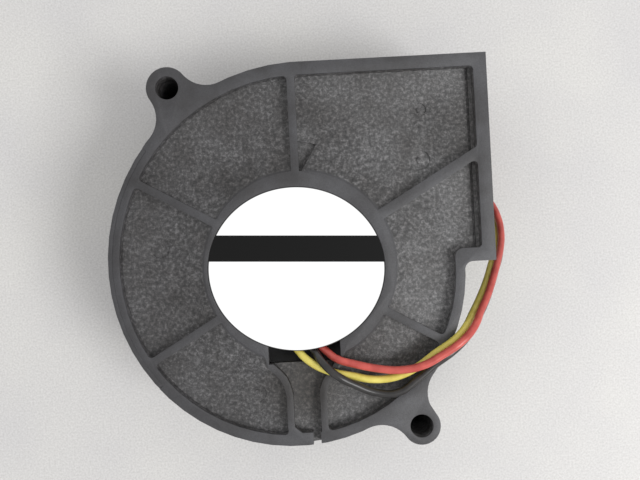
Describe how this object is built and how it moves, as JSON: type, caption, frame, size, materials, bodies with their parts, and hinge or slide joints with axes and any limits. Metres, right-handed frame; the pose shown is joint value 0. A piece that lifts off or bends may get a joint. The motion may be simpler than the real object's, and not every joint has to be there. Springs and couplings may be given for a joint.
{
  "type": "dc blower fan",
  "caption": "Flat square-outlet centrifugal blower: spiral plastic casing with ribbed back, screw ears, round inlet, bladed wheel on an outer-rotor motor, and thin leads to a plug.",
  "frame": {"origin": "the impeller axis, in the plane of the inlet face that the blower rests on", "axes": "+Z along the impeller axis from the inlet face to the label side, +X the way the outlet blows, +Y from the duct's lower wall to its upper wall"},
  "size_m": [0.0827, 0.0756, 0.0337],
  "materials": {
    "casing_plastic": "spark-textured black polyester, glass filled",
    "label_film": "satin film",
    "impeller_plastic": "smooth satin",
    "steel": "bright plated",
    "magnet": "bonded ferrite",
    "brass": "turned",
    "bronze": "sintered",
    "nylon": "natural, satin",
    "laminations": "stacked sheet",
    "copper": "enamelled wire",
    "board": "phenolic board",
    "chip_black": "moulded epoxy",
    "ceramic": "fired ceramic",
    "solder": "bright solder",
    "lead_red": "soft vinyl",
    "lead_yellow": "soft vinyl",
    "lead_black": "soft vinyl",
    "tie_black": "moulded nylon",
    "terminal_tin": "tin plated"
  },
  "bodies": {
    "root": {"back_casing": "casing_plastic", "front_casing": "casing_plastic", "label": "label_film", "bearing_tube": "brass", "sleeve_bearing": "bronze", "oil_washer": "nylon", "thrust_pad": "nylon", "stator_core": "laminations", "upper_insulator": "nylon", "lower_insulator": "nylon", "windings": "copper", "winding_pins": "steel", "circuit_board": "board", "driver_chip": "chip_black", "hall_sensor": "chip_black", "chip_parts": "ceramic", "solder_joints": "solder", "red_lead": "lead_red", "yellow_lead": "lead_yellow", "black_lead": "lead_black", "red_coil": "lead_red", "yellow_coil": "lead_yellow", "black_coil": "lead_black", "coil_tie": "tie_black", "red_terminal": "terminal_tin", "yellow_terminal": "terminal_tin", "black_terminal": "terminal_tin", "connector_housing": "nylon"},
    "rotor": {"impeller": "impeller_plastic", "rotor_yoke": "steel", "magnet_ring": "magnet", "shaft_bush": "brass", "shaft": "steel", "retaining_clip": "steel"}
  },
  "joints": [
    {"name": "impeller_spin", "type": "hinge", "parent": "root", "child": "rotor", "pos_m": [0, 0, 0.015], "axis": [0, 0, -1], "continuous": true}
  ]
}
